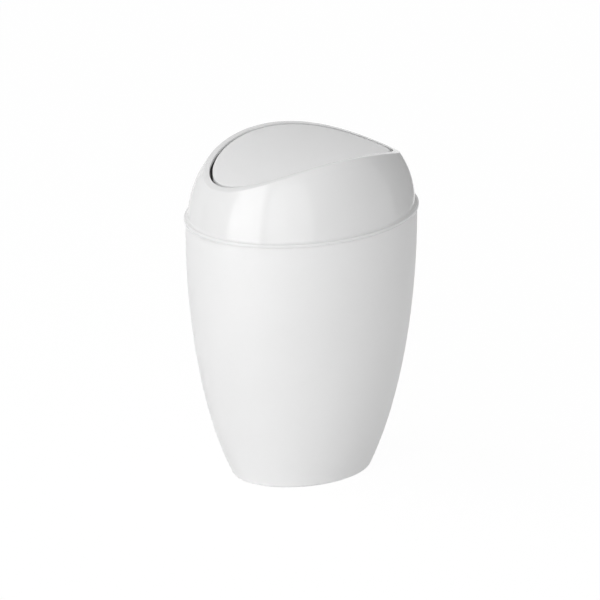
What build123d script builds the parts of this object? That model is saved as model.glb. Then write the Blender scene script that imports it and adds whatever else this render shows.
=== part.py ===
from build123d import *
from math import asin, degrees, sqrt
import os

# Countertop bin with a swing lid: an oval pot, a domed cover with an arched top, the flap that swings
# in the cover's opening, and the two pins that carry the flap.
#
# Millimetres. The origin is the middle of the foot, on the surface that the bin stands on. +X runs
# along the long axis of the oval, +Y towards the back along its short axis, and +Z is up.
# Half-lengths are measured along X and half-widths along Y.

# ---------------------------------------------------------------- body
body_half_length = 78.0  # outside of the wall, at the rim
body_half_width = 62.6
body_height = 170.5
belly_drop = 4.5  # from the rim down to the widest level
wall_line_height = 206.8  # vertical half-axis of the ellipse that the wall follows
body_wall = 1.8
floor_thickness = 2.4
floor_rounding = 7.0  # inside, where the floor meets the wall
foot_rounding = 2.4  # outside, at the foot's edge
foot_ring_width = 5.0
foot_recess = 1.5  # how far the floor is held off the table
rim_rounding = 0.4
end_trim = 1.0  # extra wall drawn past both ends, which are then cut off flat

# ---------------------------------------------------------------- cover
lip_overhang = 1.0  # how far the lip stands out from the body's wall
lip_height = 2.2
lip_top_rounding = 0.6
lip_under_rounding = 0.4
lip_cove = 1.5  # hollow rounding where the dome flares out into the lip
dome_setback = 2.2  # from the lip's edge in to the dome's foot
dome_rise = 65.0  # vertical half-axis of the dome, before the arch cuts it
crest_rise = 45.0  # from the dome's widest level up to the top of the arch
arch_radius = 152.0
arch_edge_rounding = 0.9  # where the dome turns into the land round the opening
cover_wall = 2.4
skirt_clearance = 0.3  # between the skirt and the inside of the body's wall
skirt_wall = 1.5
skirt_depth = 8.0
land_side = 3.1  # width of the land beside the opening, at the hinge
land_end = 4.2  # width of the land at the opening's two ends
opening_edge_rounding = 0.4

# ---------------------------------------------------------------- flap
side_gap = 0.8  # flap to opening, at the hinge
end_gap = 2.3  # flap to opening, at the two ends, which swing through
flap_sink = 0.9  # how far the flap's top face lies below the land
flap_thickness = 1.6
flange_depth = 7.0  # of the flap's edge, from its top face down
flange_wall = 1.8
flap_edge_rounding = 0.6

# ---------------------------------------------------------------- hinge
hinge_drop = 4.4  # from the top of the arch down to the hinge line
pin_radius = 1.25
pin_running_gap = 0.08  # radial, flap's ear on the pin
pin_seat_gap = 0.01  # radial, pin pushed into the cover's boss
pin_end_gap = 0.2
pin_tip_chamfer = 0.4
pin_head_radius = 1.8
pin_head_length = 1.2
pin_head_rounding = 0.4
pin_head_gap = 0.3  # between the head and the ear
ear_radius = 2.8
ear_length = 4.0
boss_radius = 2.8
socket_depth = 4.0  # of the boss's blind hole

# ---------------------------------------------------------------- levels and outlines that follow
belly_level = body_height - belly_drop
belly_half_length = body_half_length / sqrt(1 - (belly_drop / wall_line_height) ** 2)
foot_half_length = belly_half_length * sqrt(1 - (belly_level / wall_line_height) ** 2)
foot_half_width = foot_half_length * body_half_width / body_half_length
mouth_half_length = body_half_length - body_wall
mouth_half_width = body_half_width - body_wall
floor_level = foot_recess + floor_thickness

lip_half_length = body_half_length + lip_overhang
lip_half_width = body_half_width + lip_overhang
lip_top = body_height + lip_height
dome_level = body_height + lip_height / 2
dome_half_length = lip_half_length - dome_setback
dome_half_width = lip_half_width - dome_setback
skirt_half_length = mouth_half_length - skirt_clearance
skirt_half_width = mouth_half_width - skirt_clearance
skirt_level = body_height - skirt_depth
hollow_half_length = skirt_half_length - skirt_wall
hollow_half_width = skirt_half_width - skirt_wall
hollow_rise = dome_rise - cover_wall
arch_top = dome_level + crest_rise
dome_top = dome_level + dome_rise


def arch_meets_dome():
    """Half-length at which the arch leaves the dome's side outline: a quadratic in the height."""
    arch_centre = crest_rise - arch_radius
    square = 1 / dome_rise**2 - 1 / dome_half_length**2
    linear = 2 * arch_centre / dome_half_length**2
    constant = (arch_radius**2 - arch_centre**2) / dome_half_length**2 - 1
    height = (-linear - sqrt(linear**2 - 4 * square * constant)) / (2 * square)
    return dome_half_length * sqrt(1 - (height / dome_rise) ** 2)


opening_half_length = arch_meets_dome() - land_end
opening_half_width = dome_half_width * sqrt(1 - (crest_rise / dome_rise) ** 2) - land_side
flap_half_length = opening_half_length - end_gap
flap_half_width = opening_half_width - side_gap

hinge_level = arch_top - hinge_drop
hinge_plane = Plane((0, 0, hinge_level), x_dir=(1, 0, 0), z_dir=(0, -1, 0))
ear_face = flap_half_width - ear_length
socket_end = opening_half_width + socket_depth


def oval_pot(inset, bottom, rounding):
    """Solid inside the body's wall line, moved in by inset, from the level bottom up to the rim."""
    across = belly_half_length - inset
    upright = wall_line_height - inset
    start = degrees(asin((bottom - end_trim - belly_level) / upright))
    end = degrees(asin((belly_drop + end_trim) / upright))
    with BuildPart() as pot:
        with BuildSketch(Plane.XZ):
            with BuildLine():
                wall = EllipticalCenterArc((0, belly_level), across, upright, start, arc_size=end - start)
                Polyline(wall @ 0, (0, bottom - end_trim), (0, body_height + end_trim), wall @ 1)
            make_face()
        revolve(axis=Axis.Z)
        scale(by=(1, (body_half_width - inset) / (body_half_length - inset), 1))
        split(bisect_by=Plane.XY.offset(body_height), keep=Keep.BOTTOM)
        split(bisect_by=Plane.XY.offset(bottom), keep=Keep.TOP)
        fillet(pot.edges().group_by(Axis.Z)[0], rounding)
    return pot.part


def oval_dome(half_length, half_width, rise):
    """Half an ellipsoid, standing on the dome's widest level."""
    with BuildPart() as dome:
        with BuildSketch(Plane.XZ):
            with BuildLine():
                outline = EllipticalCenterArc((0, dome_level), half_length, rise, 0, arc_size=90)
                Polyline(outline @ 0, (0, dome_level), outline @ 1)
            make_face()
        revolve(axis=Axis.Z)
        scale(by=(1, half_width / half_length, 1))
    return dome.part


def oval_column(half_length, half_width, bottom, top):
    """Upright solid with an oval plan, between two levels."""
    with BuildPart() as column:
        with BuildSketch(Plane.XY.offset(bottom)):
            Ellipse(half_length, half_width)
        extrude(amount=top - bottom)
    return column.part


def under_arch(depth):
    """The round bar, lying along Y, whose upper side is the arch's surface moved down by depth."""
    with BuildPart() as bar:
        with BuildSketch(Plane.XZ):
            with Locations((0, arch_top - arch_radius)):
                Circle(arch_radius - depth)
        extrude(amount=lip_half_width, both=True)
    return bar.part


def hinge_bar(radius, reach):
    """Round bar along the hinge line, from reach in front of the middle to reach behind it."""
    with BuildPart() as bar:
        with BuildSketch(hinge_plane):
            Circle(radius)
        extrude(amount=reach, both=True)
    return bar.part


# ---------------------------------------------------------------- body: an open pot on a foot ring
with BuildPart() as bin_body:
    add(oval_pot(0, 0, foot_rounding))
    add(oval_pot(body_wall, floor_level, floor_rounding), mode=Mode.SUBTRACT)
    with BuildSketch():
        Ellipse(foot_half_length - foot_ring_width, foot_half_width - foot_ring_width)
    extrude(amount=foot_recess, mode=Mode.SUBTRACT)
    rim = bin_body.faces().sort_by(Axis.Z)[-1]
    fillet(rim.edges(), rim_rounding)

# ---------------------------------------------------------------- cover: dome, lip, skirt and bosses
opening = oval_column(opening_half_length, opening_half_width, skirt_level, dome_top)

with BuildPart() as cover_hollow:
    add(oval_dome(hollow_half_length, hollow_half_width, hollow_rise))
    add(under_arch(cover_wall), mode=Mode.INTERSECT)
    add(oval_column(hollow_half_length, hollow_half_width, skirt_level, dome_level))

with BuildPart() as hinge_bosses:
    add(hinge_bar(boss_radius, dome_half_width))
    add(
        oval_dome(
            (dome_half_length + hollow_half_length) / 2,
            (dome_half_width + hollow_half_width) / 2,
            (dome_rise + hollow_rise) / 2,
        ),
        mode=Mode.INTERSECT,
    )
    add(opening, mode=Mode.SUBTRACT)

with BuildPart() as cover_lip:
    add(oval_column(lip_half_length, lip_half_width, body_height, lip_top))
    fillet(cover_lip.faces().sort_by(Axis.Z)[-1].edges(), lip_top_rounding)
    fillet(cover_lip.faces().sort_by(Axis.Z)[0].edges(), lip_under_rounding)
    add(opening, mode=Mode.SUBTRACT)

with BuildPart() as dome_cover:
    add(oval_dome(dome_half_length, dome_half_width, dome_rise))
    add(under_arch(0), mode=Mode.INTERSECT)
    add(opening, mode=Mode.SUBTRACT)
    land = dome_cover.faces().filter_by(GeomType.CYLINDER).sort_by(Axis.Z)[-1]
    fillet(land.outer_wire().edges(), arch_edge_rounding)
    land = dome_cover.faces().filter_by(GeomType.CYLINDER).sort_by(Axis.Z)[-1]
    fillet(land.inner_wires()[0].edges(), opening_edge_rounding)
    add(cover_lip.part)
    lip_face = dome_cover.faces().filter_by(GeomType.PLANE).sort_by(Axis.Z)[-1]
    fillet(lip_face.inner_wires()[0].edges(), lip_cove)
    add(oval_column(skirt_half_length, skirt_half_width, skirt_level, body_height))
    add(cover_hollow.part, mode=Mode.SUBTRACT)
    add(hinge_bosses.part)
    add(hinge_bar(pin_radius + pin_seat_gap, socket_end), mode=Mode.SUBTRACT)

# ---------------------------------------------------------------- flap: arched panel, edge flange, ears
with BuildPart() as flap_hollow:
    add(oval_column(flap_half_length - flange_wall, flap_half_width - flange_wall, dome_level, dome_top))
    add(under_arch(flap_sink + flap_thickness), mode=Mode.INTERSECT)

flap_outline = oval_column(flap_half_length, flap_half_width, dome_level, dome_top)

with BuildPart() as hinge_ears:
    add(hinge_bar(ear_radius, flap_half_width))
    add(hinge_bar(ear_radius, ear_face), mode=Mode.SUBTRACT)
    add(flap_outline, mode=Mode.INTERSECT)

with BuildPart() as swing_flap:
    add(flap_outline)
    add(under_arch(flap_sink), mode=Mode.INTERSECT)
    add(under_arch(flap_sink + flange_depth), mode=Mode.SUBTRACT)
    top_face = swing_flap.faces().filter_by(GeomType.CYLINDER).sort_by(Axis.Z)[-1]
    fillet(top_face.edges(), flap_edge_rounding)
    add(flap_hollow.part, mode=Mode.SUBTRACT)
    add(hinge_ears.part)
    add(hinge_bar(pin_radius + pin_running_gap, opening_half_width), mode=Mode.SUBTRACT)


def push_in_pin(side):
    """Headed pin, pushed outwards from under the flap: side is -1 at the front and 1 at the back."""
    head_start = ear_face - pin_head_gap - pin_head_length
    start = Plane((0, side * head_start, hinge_level), z_dir=(0, side, 0))
    with BuildPart() as pin:
        with BuildSketch(start):
            Circle(pin_head_radius)
        extrude(amount=pin_head_length)
        fillet(pin.edges().filter_by(GeomType.CIRCLE), pin_head_rounding)
        with BuildSketch(start):
            Circle(pin_radius)
        extrude(amount=socket_end - pin_end_gap - head_start)
        tip = pin.faces().sort_by(Axis(start.origin, start.z_dir))[-1]
        chamfer(tip.edges(), pin_tip_chamfer)
    return pin.part


# ---------------------------------------------------------------- write the pieces
pieces = {
    "bin_body": bin_body.part,
    "dome_cover": dome_cover.part,
    "swing_flap": swing_flap.part,
    "hinge_pin_front": push_in_pin(-1),
    "hinge_pin_back": push_in_pin(1),
}

os.makedirs("parts", exist_ok=True)
for name, piece in pieces.items():
    piece.label = name
    export_step(piece, f"parts/{name}.step")
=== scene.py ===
# %% [markdown]
# # A countertop bin with a swing lid
#
# The bin is three white mouldings and two small pins. An oval pot with a satin wall stands on a narrow
# foot. A polished, domed cover closes it, cut off above by a gentle arch, and a satin flap swings in an
# opening in that arch. The CAD model has all five pieces at their real size and place, so it is loaded
# first and never changed. What is left for this script is what a product photographer and a moulder
# would add: how each plastic takes the light, the floor, the lamps and the camera.

# %% Load the frame
from math import cos, pi, radians, sin, tan

import bmesh
import bpy
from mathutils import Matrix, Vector

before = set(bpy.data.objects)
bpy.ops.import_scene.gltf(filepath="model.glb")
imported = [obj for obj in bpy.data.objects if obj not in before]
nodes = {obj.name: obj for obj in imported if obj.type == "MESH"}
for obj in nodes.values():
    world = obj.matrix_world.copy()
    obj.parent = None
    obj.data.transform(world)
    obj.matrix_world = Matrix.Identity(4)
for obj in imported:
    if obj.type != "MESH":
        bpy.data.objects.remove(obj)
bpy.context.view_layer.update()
for name, node in sorted(nodes.items()):
    print(f"{name}: {len(node.data.polygons)} triangles")

# %% [markdown]
# ## The camera
#
# The bin was photographed from a little above, and turned so that one end of its oval comes forward.
# Its upright sides stay upright and its oval rim is hardly narrower at the back, so the camera was far
# away with a long lens. The distance isn't free: it follows from the lens and from how wide a strip of
# the scene the picture shows at the bin.

# %% Directions as the camera sees them
camera_azimuth = radians(-36.0)  # round the bin, from straight in front
camera_elevation = radians(19.8)


def towards(azimuth, elevation):
    """The direction out from the bin at an azimuth round it and an elevation over the floor."""
    return Vector(
        (
            sin(azimuth) * cos(elevation),
            -cos(azimuth) * cos(elevation),
            sin(elevation),
        )
    )


to_camera = towards(camera_azimuth, camera_elevation)
to_right = Vector((cos(camera_azimuth), sin(camera_azimuth), 0.0))
print("towards the camera:", [round(part, 3) for part in to_camera])

# %% Aim and place the camera
view_width = 0.379  # metres across the picture, at the bin
view_height = 0.1115  # the height over the floor at the picture's middle
view_shift = -0.00095  # how far the picture's middle lies to the right of the bin's
view_middle = Vector((0.0, 0.0, view_height)) + view_shift * to_right

lens = bpy.data.cameras.new("long_lens")
lens.lens = 1000.0
lens.sensor_width = 36.0
camera_distance = view_width * lens.lens / lens.sensor_width

camera = bpy.data.objects.new("camera", lens)
camera.location = view_middle + camera_distance * to_camera
camera.rotation_euler = to_camera.to_track_quat("Z", "Y").to_euler()
bpy.context.scene.collection.objects.link(camera)
bpy.context.scene.camera = camera
print(f"camera {camera_distance:.2f} m from the bin")

# %% [markdown]
# ## Colours and nodes
#
# A colour is picked on a screen, so it is written as an sRGB hex value. The renderer works in
# linear light, so one function turns it over. A second small function adds any shader node with its
# settings and its links, so that each material below reads as a short list. Texture scales count
# features to the metre, which nobody can picture, so a third one turns a size in millimetres into that.


# %% A colour from its hex value
def linear(hex_colour):
    """An sRGB colour such as F2F2F2, as linear red, green, blue and alpha."""
    channels = [int(hex_colour[i : i + 2], 16) / 255 for i in (0, 2, 4)]
    return [c / 12.92 if c <= 0.04045 else ((c + 0.055) / 1.055) ** 2.4 for c in channels] + [1.0]


print("F2F2F2 in linear light:", [round(part, 3) for part in linear("F2F2F2")])


# %% A node with its settings and links
def add_node(tree, kind, settings=None, **inputs):
    """Adds a node. Settings are its properties. Inputs are values or sockets, by the input's name with
    an underscore for a space, or by its number, as _6, where two inputs share a name."""
    node = tree.nodes.new(kind)
    for name, value in (settings or {}).items():
        setattr(node, name, value)
    for name, value in inputs.items():
        key = int(name[1:]) if name[0] == "_" else name.replace("_", " ")
        socket = node.inputs[key]
        if isinstance(value, bpy.types.NodeSocket):
            tree.links.new(value, socket)
        else:
            socket.default_value = value
    return node


# %% A pattern's scale from its real size
def scale_of(millimetres):
    """The scale that gives a texture features of this size, on coordinates in metres."""
    return 1000.0 / millimetres


print("a feature of half a millimetre has the scale", scale_of(0.5))


# %% [markdown]
# ## What moulded plastic looks like
#
# Every piece is injection moulded, so its skin is a print of the steel that it set against. Three things
# tell the eye so. The colour is nearly even, but drifts a little where the melt flowed and cooled. The
# gloss drifts too, because nobody polishes or erodes a mould quite evenly. And the skin isn't flat: a
# spark-eroded mould leaves a fine grain, and a polished one leaves long, shallow waves where the plastic
# shrank. Polypropylene also lets light through: a thin white wall glows a little on its dark side, which
# is why the gap round the flap is grey and not black. One function builds all of this, and each plastic
# below gives it its own sizes and depths.


# %% How far light gets into the plastic
light_depth_mm = 3.0  # more than the thickness of a wall, so some of it reaches the inside
print("light gets", light_depth_mm, "mm into the plastic")


# %% One function for a moulded skin
def moulded_plastic(
    name, colours, roughness, drift_mm, grain_mm, grain_depth_mm, ior, translucency
):
    """A plastic with two close colours, a range of roughness and a bumped skin, all at real sizes. Its
    translucency is the share of the light that goes in before it comes back."""
    material = bpy.data.materials.new(name)
    material.use_nodes = True
    tree = material.node_tree
    shader = tree.nodes["Principled BSDF"]
    shader.inputs["IOR"].default_value = ior
    shader.inputs["Subsurface Weight"].default_value = translucency
    shader.inputs["Subsurface Radius"].default_value = (1.0, 1.0, 1.0)  # the same for every colour
    shader.inputs["Subsurface Scale"].default_value = light_depth_mm / 1000.0
    place = add_node(tree, "ShaderNodeTexCoord").outputs["Object"]

    drift = add_node(tree, "ShaderNodeTexNoise", Vector=place, Scale=scale_of(drift_mm), Detail=2.0)
    colour = add_node(
        tree,
        "ShaderNodeMix",
        {"data_type": "RGBA"},
        Factor=drift.outputs["Fac"],
        _6=linear(colours[0]),
        _7=linear(colours[1]),
    )
    gloss = add_node(
        tree,
        "ShaderNodeMapRange",
        Value=drift.outputs["Fac"],
        To_Min=roughness[0],
        To_Max=roughness[1],
    )
    grain = add_node(tree, "ShaderNodeTexNoise", Vector=place, Scale=scale_of(grain_mm), Detail=2.0)
    skin = add_node(
        tree,
        "ShaderNodeBump",
        Strength=1.0,
        Distance=grain_depth_mm / 1000.0,
        Height=grain.outputs["Fac"],
    )
    tree.links.new(colour.outputs["Result"], shader.inputs["Base Color"])
    tree.links.new(gloss.outputs["Result"], shader.inputs["Roughness"])
    tree.links.new(skin.outputs["Normal"], shader.inputs["Normal"])
    print(f"{name}: {len(tree.nodes)} nodes")
    return material


# %% [markdown]
# ## Satin polypropylene, for the wall and the flap
#
# The pot and its flap come from spark-eroded moulds, so light slides off them in a broad, soft sheen and
# nothing is mirrored sharply. Such a grain is about a tenth of a millimetre, which is lost between the
# pixels, so it is drawn at half a millimetre.

# %% Satin wall and flap
satin_body = moulded_plastic(
    "satin_moulded_polypropylene",
    colours=("F5F5F5", "F2F2F2"),
    roughness=(0.38, 0.46),
    drift_mm=60.0,
    grain_mm=0.5,
    grain_depth_mm=0.006,
    ior=1.49,
    translucency=0.6,
)

# %% [markdown]
# ## Polished polypropylene, for the cover
#
# The cover comes from a polished mould and mirrors what stands round it, with soft edges, because a mould
# for a household bin is no perfect mirror. The long waves are where the plastic shrank. They bend the
# reflections a little, which is what tells the eye that this is plastic and not glass.

# %% Polished cover
polished_cover = moulded_plastic(
    "polished_moulded_polypropylene",
    # A shade darker than the wall's white: this is painted shade, standing in for the dimmer light that
    # the dome gets.
    colours=("EAEAEA", "E8E8E8"),
    roughness=(0.12, 0.16),
    drift_mm=45.0,
    grain_mm=14.0,
    grain_depth_mm=0.03,
    ior=1.49,
    translucency=0.1,
)

# %% [markdown]
# ## Acetal, for the pins
#
# Hinge pins are often moulded in acetal, because it is hard and slides well against polypropylene. It is
# a trace creamier than the other pieces and between them in gloss. Its real grain is far too fine to
# show, so it is drawn at three tenths of a millimetre.

# %% Acetal pins
moulded_acetal = moulded_plastic(
    "moulded_acetal",
    colours=("F0F0EC", "ECECE7"),
    roughness=(0.28, 0.34),
    drift_mm=3.0,
    grain_mm=0.3,
    grain_depth_mm=0.002,
    ior=1.48,
    translucency=0.1,
)

# %% Give each piece its plastic
finishes = {
    "bin_body": satin_body,
    "swing_flap": satin_body,
    "dome_cover": polished_cover,
    "hinge_pin_front": moulded_acetal,
    "hinge_pin_back": moulded_acetal,
}
for name, finish in finishes.items():
    nodes[name].data.materials.clear()
    nodes[name].data.materials.append(finish)
    print(name, "is", finish.name)

# %% [markdown]
# ## A white floor that keeps a shadow
#
# The bin stands on white that the camera sees as pure white, with only a breath of shadow at the foot. A
# floor that is simply lit can't do that: it would need far more light than the bin, and the bin's own
# whites would burn out. So the floor gives two answers. To light that only bounces it is plain matt
# paint. To the camera, and to the gloss of the cover, it shows nearly its full white by itself and adds
# the little that the lamps put on it, which is where the shadow stays.


# %% What the eye and the reflections see
def seen_directly(tree):
    """1 for rays from the camera, from a reflection or through glass, and 0 for rays that only light."""
    path = add_node(tree, "ShaderNodeLightPath")
    mirrored = add_node(
        tree,
        "ShaderNodeMath",
        {"operation": "MAXIMUM"},
        _0=path.outputs["Is Glossy Ray"],
        _1=path.outputs["Is Transmission Ray"],
    )
    seen = add_node(
        tree,
        "ShaderNodeMath",
        {"operation": "MAXIMUM"},
        _0=path.outputs["Is Camera Ray"],
        _1=mirrored.outputs["Value"],
    )
    return seen.outputs["Value"]


# %% The floor's material
floor_glow = 0.955  # of full white, by itself
floor_shade = 0.06  # the share of the lamps' light that is added to it

floor_paint = bpy.data.materials.new("matt_white_paint")
floor_paint.use_nodes = True
tree = floor_paint.node_tree
lit = tree.nodes["Principled BSDF"]
lit.inputs["Base Color"].default_value = linear("E6E6E6")
lit.inputs["Roughness"].default_value = 0.6
shade = add_node(tree, "ShaderNodeBsdfDiffuse", Color=(floor_shade, floor_shade, floor_shade, 1.0))
glow = add_node(tree, "ShaderNodeEmission", Strength=floor_glow)
shown = add_node(tree, "ShaderNodeAddShader", _0=shade.outputs["BSDF"], _1=glow.outputs["Emission"])
choice = add_node(
    tree,
    "ShaderNodeMixShader",
    Fac=seen_directly(tree),
    _1=lit.outputs["BSDF"],
    _2=shown.outputs["Shader"],
)
tree.links.new(choice.outputs["Shader"], tree.nodes["Material Output"].inputs["Surface"])
print(f"{floor_paint.name}: {len(tree.nodes)} nodes")

# %% The floor
floor_radius = 4.0
floor_gap = 0.0002  # under the foot, so that the two flat faces never share a plane

mesh = bpy.data.meshes.new("floor")
bm = bmesh.new()
bmesh.ops.create_circle(bm, cap_ends=True, segments=96, radius=floor_radius)
bmesh.ops.translate(bm, vec=(0.0, 0.0, -floor_gap), verts=bm.verts)
bm.to_mesh(mesh)
bm.free()
floor = bpy.data.objects.new("floor", mesh)
floor.data.materials.append(floor_paint)
bpy.context.scene.collection.objects.link(floor)
print(f"floor: {2 * floor_radius:.0f} m across")

# %% [markdown]
# ## Soft light in two halves
#
# White on white is drawn by light alone. The satin body only shows how much light comes from where, so
# large lamps shade it from nearly white on the left to a pale grey on the right, and a low one behind
# keeps the back from going dull. The polished cover is a mirror as well, and shows what stands round it.
# One set of lamps could do both jobs, but then every change for the gloss would spoil the shading. So the
# large lamps only light, and what the gloss shows is a set of its own. The room itself is an even white,
# which the eye and the gloss see in full and which lights the bin at less than half of that.

# %% The room
room_level = 0.43  # as a light on the bin
white_level = 1.0  # as the eye and the gloss see it

room = bpy.data.worlds.new("room")
bpy.context.scene.world = room
room.use_nodes = True
tree = room.node_tree
brightness = add_node(
    tree,
    "ShaderNodeMapRange",
    Value=seen_directly(tree),
    To_Min=room_level,
    To_Max=white_level,
)
background = tree.nodes["Background"]
background.inputs["Color"].default_value = (1.0, 1.0, 1.0, 1.0)
tree.links.new(brightness.outputs["Result"], background.inputs["Strength"])
print(f"room: {white_level} to the eye, {room_level} as a light")


# %% Where a lamp stands, and how wide it is
def outwards(azimuth):
    """The level direction out from the bin, this many degrees to the right of the camera's."""
    return towards(camera_azimuth + radians(azimuth), 0.0)


def width_at(distance, angle):
    """The width of something flat that fills an angle, in degrees, as seen from this far away."""
    return 2 * distance * tan(radians(angle / 2))


print(f"60 degrees at 2 m: {width_at(2.0, 60):.2f} m")


# %% An upright lamp
def upright_lamp(name, azimuth, distance, bottom, top, width, level):
    """A flat lamp that faces the bin and that the camera doesn't see, in metres, except that its width is
    the angle that it fills. A level of 1 is as bright as white."""
    lamp = bpy.data.lights.new(name, "AREA")
    lamp.shape = "RECTANGLE"
    lamp.size = width_at(distance, width)
    lamp.size_y = top - bottom
    lamp.energy = pi * lamp.size * lamp.size_y * level
    out = outwards(azimuth)
    stand = bpy.data.objects.new(name, lamp)
    stand.location = distance * out + Vector((0.0, 0.0, (bottom + top) / 2))
    stand.rotation_euler = out.to_track_quat("Z", "Y").to_euler()
    stand.visible_camera = False
    bpy.context.scene.collection.objects.link(stand)
    print(f"{name}: {lamp.size:.2f} by {lamp.size_y:.2f} m, {lamp.energy:.1f} W")
    return stand


# %% The lamps that shade the bin
shading_lamps = [
    upright_lamp("low_front", azimuth=-20, distance=2.0, bottom=0.02, top=0.6, width=60, level=2.1),
    upright_lamp("high_front", azimuth=-20, distance=2.0, bottom=0.6, top=1.6, width=60, level=2.2),
    upright_lamp("high_left", azimuth=-70, distance=1.5, bottom=1.2, top=2.4, width=50, level=1.1),
    upright_lamp("top_left", azimuth=-100, distance=1.5, bottom=1.8, top=3.6, width=50, level=2.75),
    upright_lamp("low_back", azimuth=180, distance=2.0, bottom=0.02, top=0.5, width=70, level=1.0),
]
for stand in shading_lamps:
    stand.visible_glossy = False

# %% [markdown]
# ## What the cover mirrors
#
# A polished dome looks polished because it shows hard edges between bright and dark. Here a tall light box
# makes the wide bright streak left of its middle, with a paler board beside it and a dark card past either
# of them. All four are upright and close to the bin, so their streaks follow the dome from its lip to the
# arch. They show only in the gloss. The two bright ones are lamps. The dark ones have to hide the room
# behind them, so they are flat cards with a faint glow.

# %% The panels that the gloss shows
gloss_distance = 0.6
panel_bottom = 0.002
panel_top = 0.9
gloss_lamps = [
    upright_lamp("tall_box", -37, gloss_distance, panel_bottom, panel_top, width=37, level=2.15),
    upright_lamp("pale_board", 9, gloss_distance, panel_bottom, panel_top, width=40, level=1.15),
]
for stand in gloss_lamps:
    stand.visible_diffuse = False

# %% What the dark cards are made of
card_glow = 0.4
grey_card = bpy.data.materials.new("grey_card")
grey_card.use_nodes = True
tree = grey_card.node_tree
glimmer = add_node(tree, "ShaderNodeEmission", Strength=card_glow)
tree.links.new(glimmer.outputs["Emission"], tree.nodes["Material Output"].inputs["Surface"])
print(f"{grey_card.name}: {card_glow} of white")


# %% A dark card
def dark_card(name, azimuth, width, height):
    """An upright card that only the gloss sees, standing on the floor. Its width is an angle too."""
    out = outwards(azimuth)
    turned = out.to_track_quat("Z", "Y").to_matrix().to_4x4()
    size = Vector((width_at(gloss_distance, width), height, 1.0))
    middle = gloss_distance * out + Vector((0.0, 0.0, height / 2))

    bm = bmesh.new()
    bmesh.ops.create_grid(bm, x_segments=1, y_segments=1, size=0.5)
    bmesh.ops.scale(bm, vec=size, verts=bm.verts)
    bmesh.ops.transform(bm, matrix=turned, verts=bm.verts)
    bmesh.ops.translate(bm, vec=middle, verts=bm.verts)
    mesh = bpy.data.meshes.new(name)
    bm.to_mesh(mesh)
    bm.free()
    mesh.materials.append(grey_card)

    card = bpy.data.objects.new(name, mesh)
    card.visible_camera = False
    card.visible_diffuse = False
    card.visible_transmission = False
    card.visible_shadow = False
    bpy.context.scene.collection.objects.link(card)
    print(f"{name}: {size.x:.2f} by {size.y:.2f} m")


# %% Place the cards
dark_card("card_left", azimuth=-82, width=44, height=1.0)
dark_card("card_right", azimuth=136, width=60, height=1.0)

# %% [markdown]
# ## Finish
#
# Materials and lamps add no size, so the object's box must be the same now as it was straight after
# loading. What is left is to set the standard view transform.

# %% Finish with the standard view transform
bpy.context.scene.view_settings.view_transform = "Standard"
